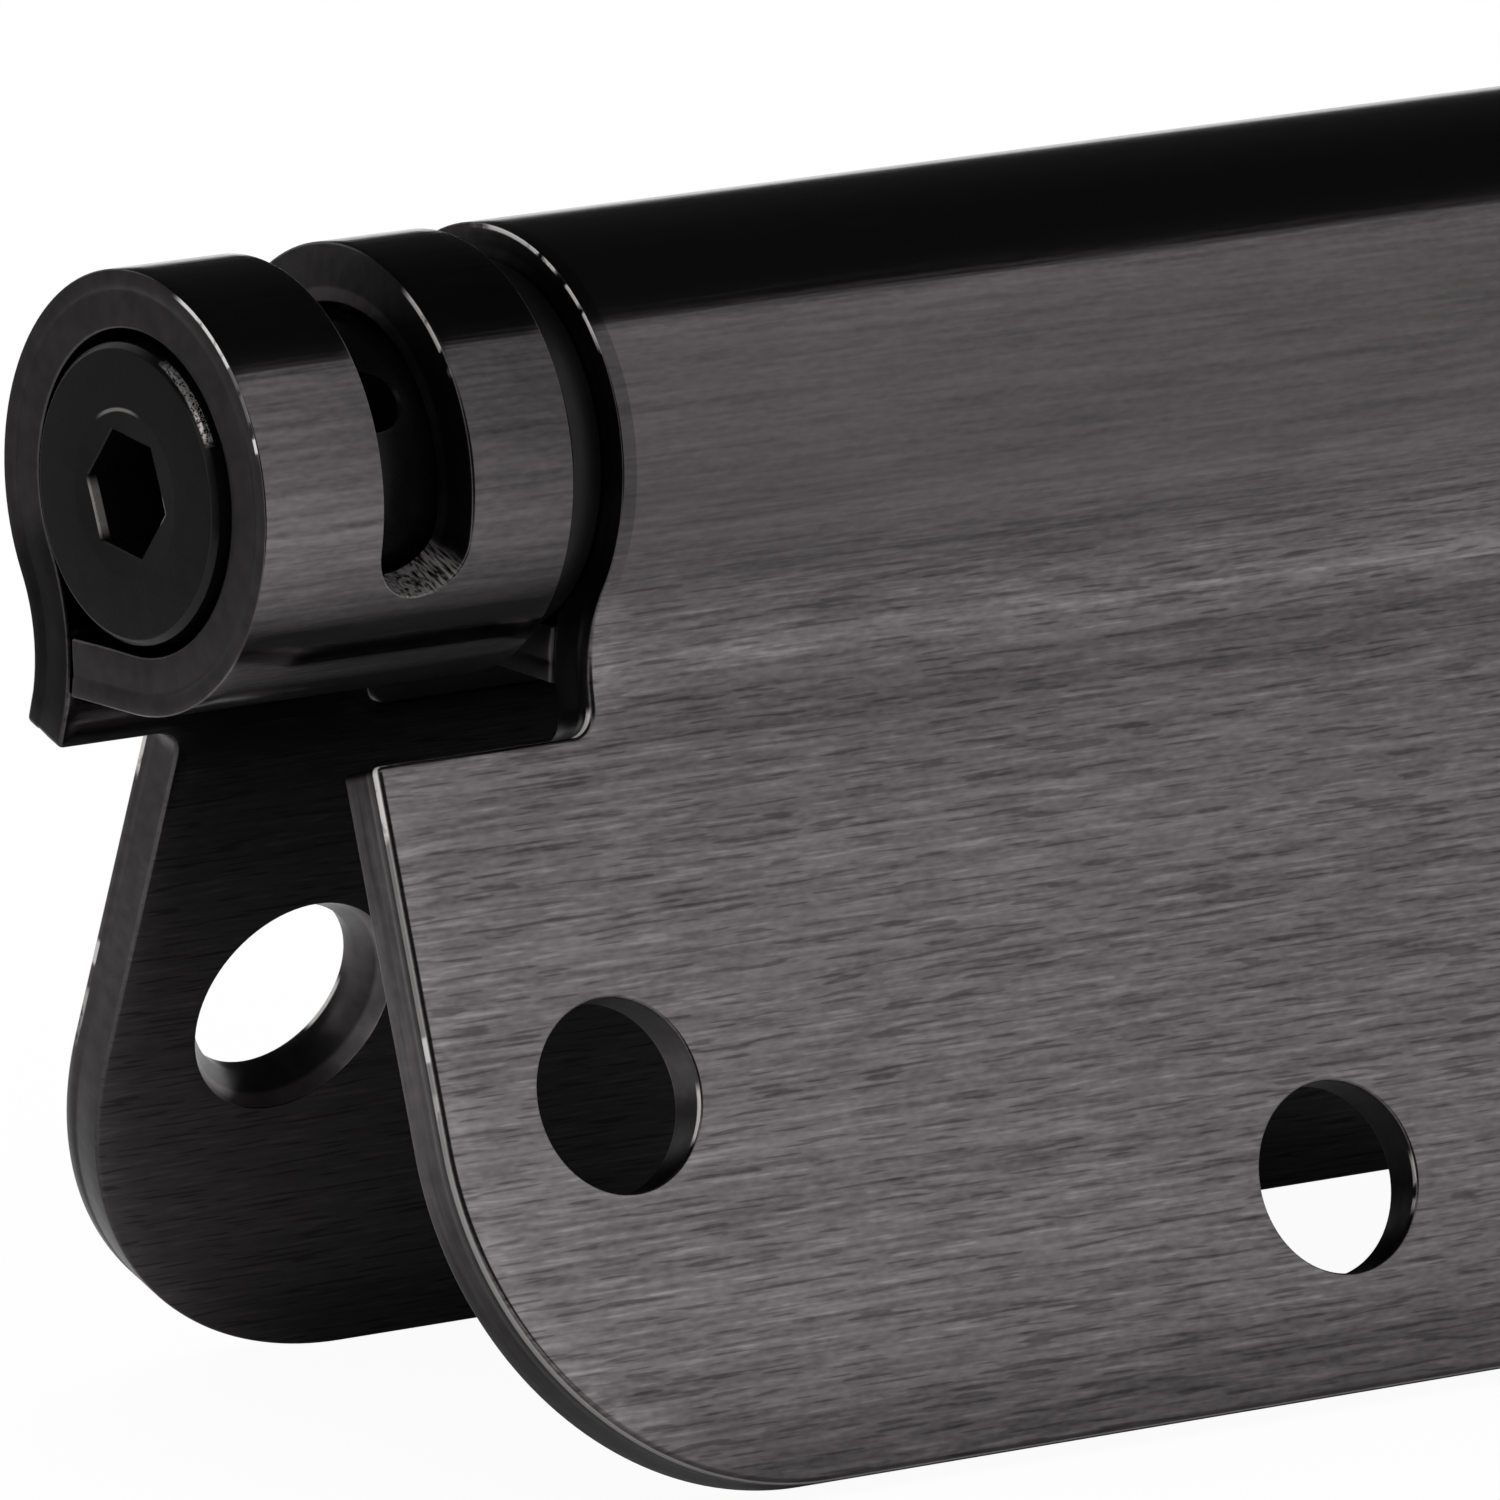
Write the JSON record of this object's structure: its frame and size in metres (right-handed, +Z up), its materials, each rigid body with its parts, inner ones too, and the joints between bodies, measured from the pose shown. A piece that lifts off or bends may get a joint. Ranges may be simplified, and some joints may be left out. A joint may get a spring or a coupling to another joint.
{
  "type": "self-closing door hinge",
  "caption": "Self-closing butt hinge: two folded steel leaves on one barrel with a torsion spring inside, wound at the end by a hex key and held by a pin in the slotted knuckle.",
  "frame": {"origin": "under the middle of the barrel, on the surface that the hinge stands on", "axes": "+X along the barrel, away from the end with the hex socket; the front leaf leans to -Y and the rear leaf to +Y; +Z up through the barrel"},
  "size_m": [0.1018, 0.0358, 0.0509],
  "materials": {
    "leaf_steel": "brushed steel with a dark, near-black plated finish",
    "hub_steel": "turned steel with a smooth black finish",
    "bush_plastic": "moulded black acetal",
    "spring_wire": "drawn spring wire, lightly oiled"
  },
  "bodies": {
    "rear_leaf": {"rear_leaf": "leaf_steel", "far_bush": "bush_plastic", "end_plug": "hub_steel"},
    "front_leaf": {"front_leaf": "leaf_steel", "near_bush": "bush_plastic", "spring_anchor": "hub_steel", "torsion_spring": "spring_wire"},
    "adjuster": {"adjuster_hub": "hub_steel"}
  },
  "joints": [
    {"name": "leaf_swing", "type": "hinge", "parent": "rear_leaf", "child": "front_leaf", "pos_m": [0, 0, 0.04167], "axis": [-1, 0, 0], "range_deg": [-38, 142]},
    {"name": "adjuster_turn", "type": "hinge", "parent": "front_leaf", "child": "adjuster", "pos_m": [0, 0, 0.04167], "axis": [1, 0, 0], "range_deg": [0, 270], "stiffness_Nm_per_rad": 0.411, "deforming": ["torsion_spring"]}
  ]
}
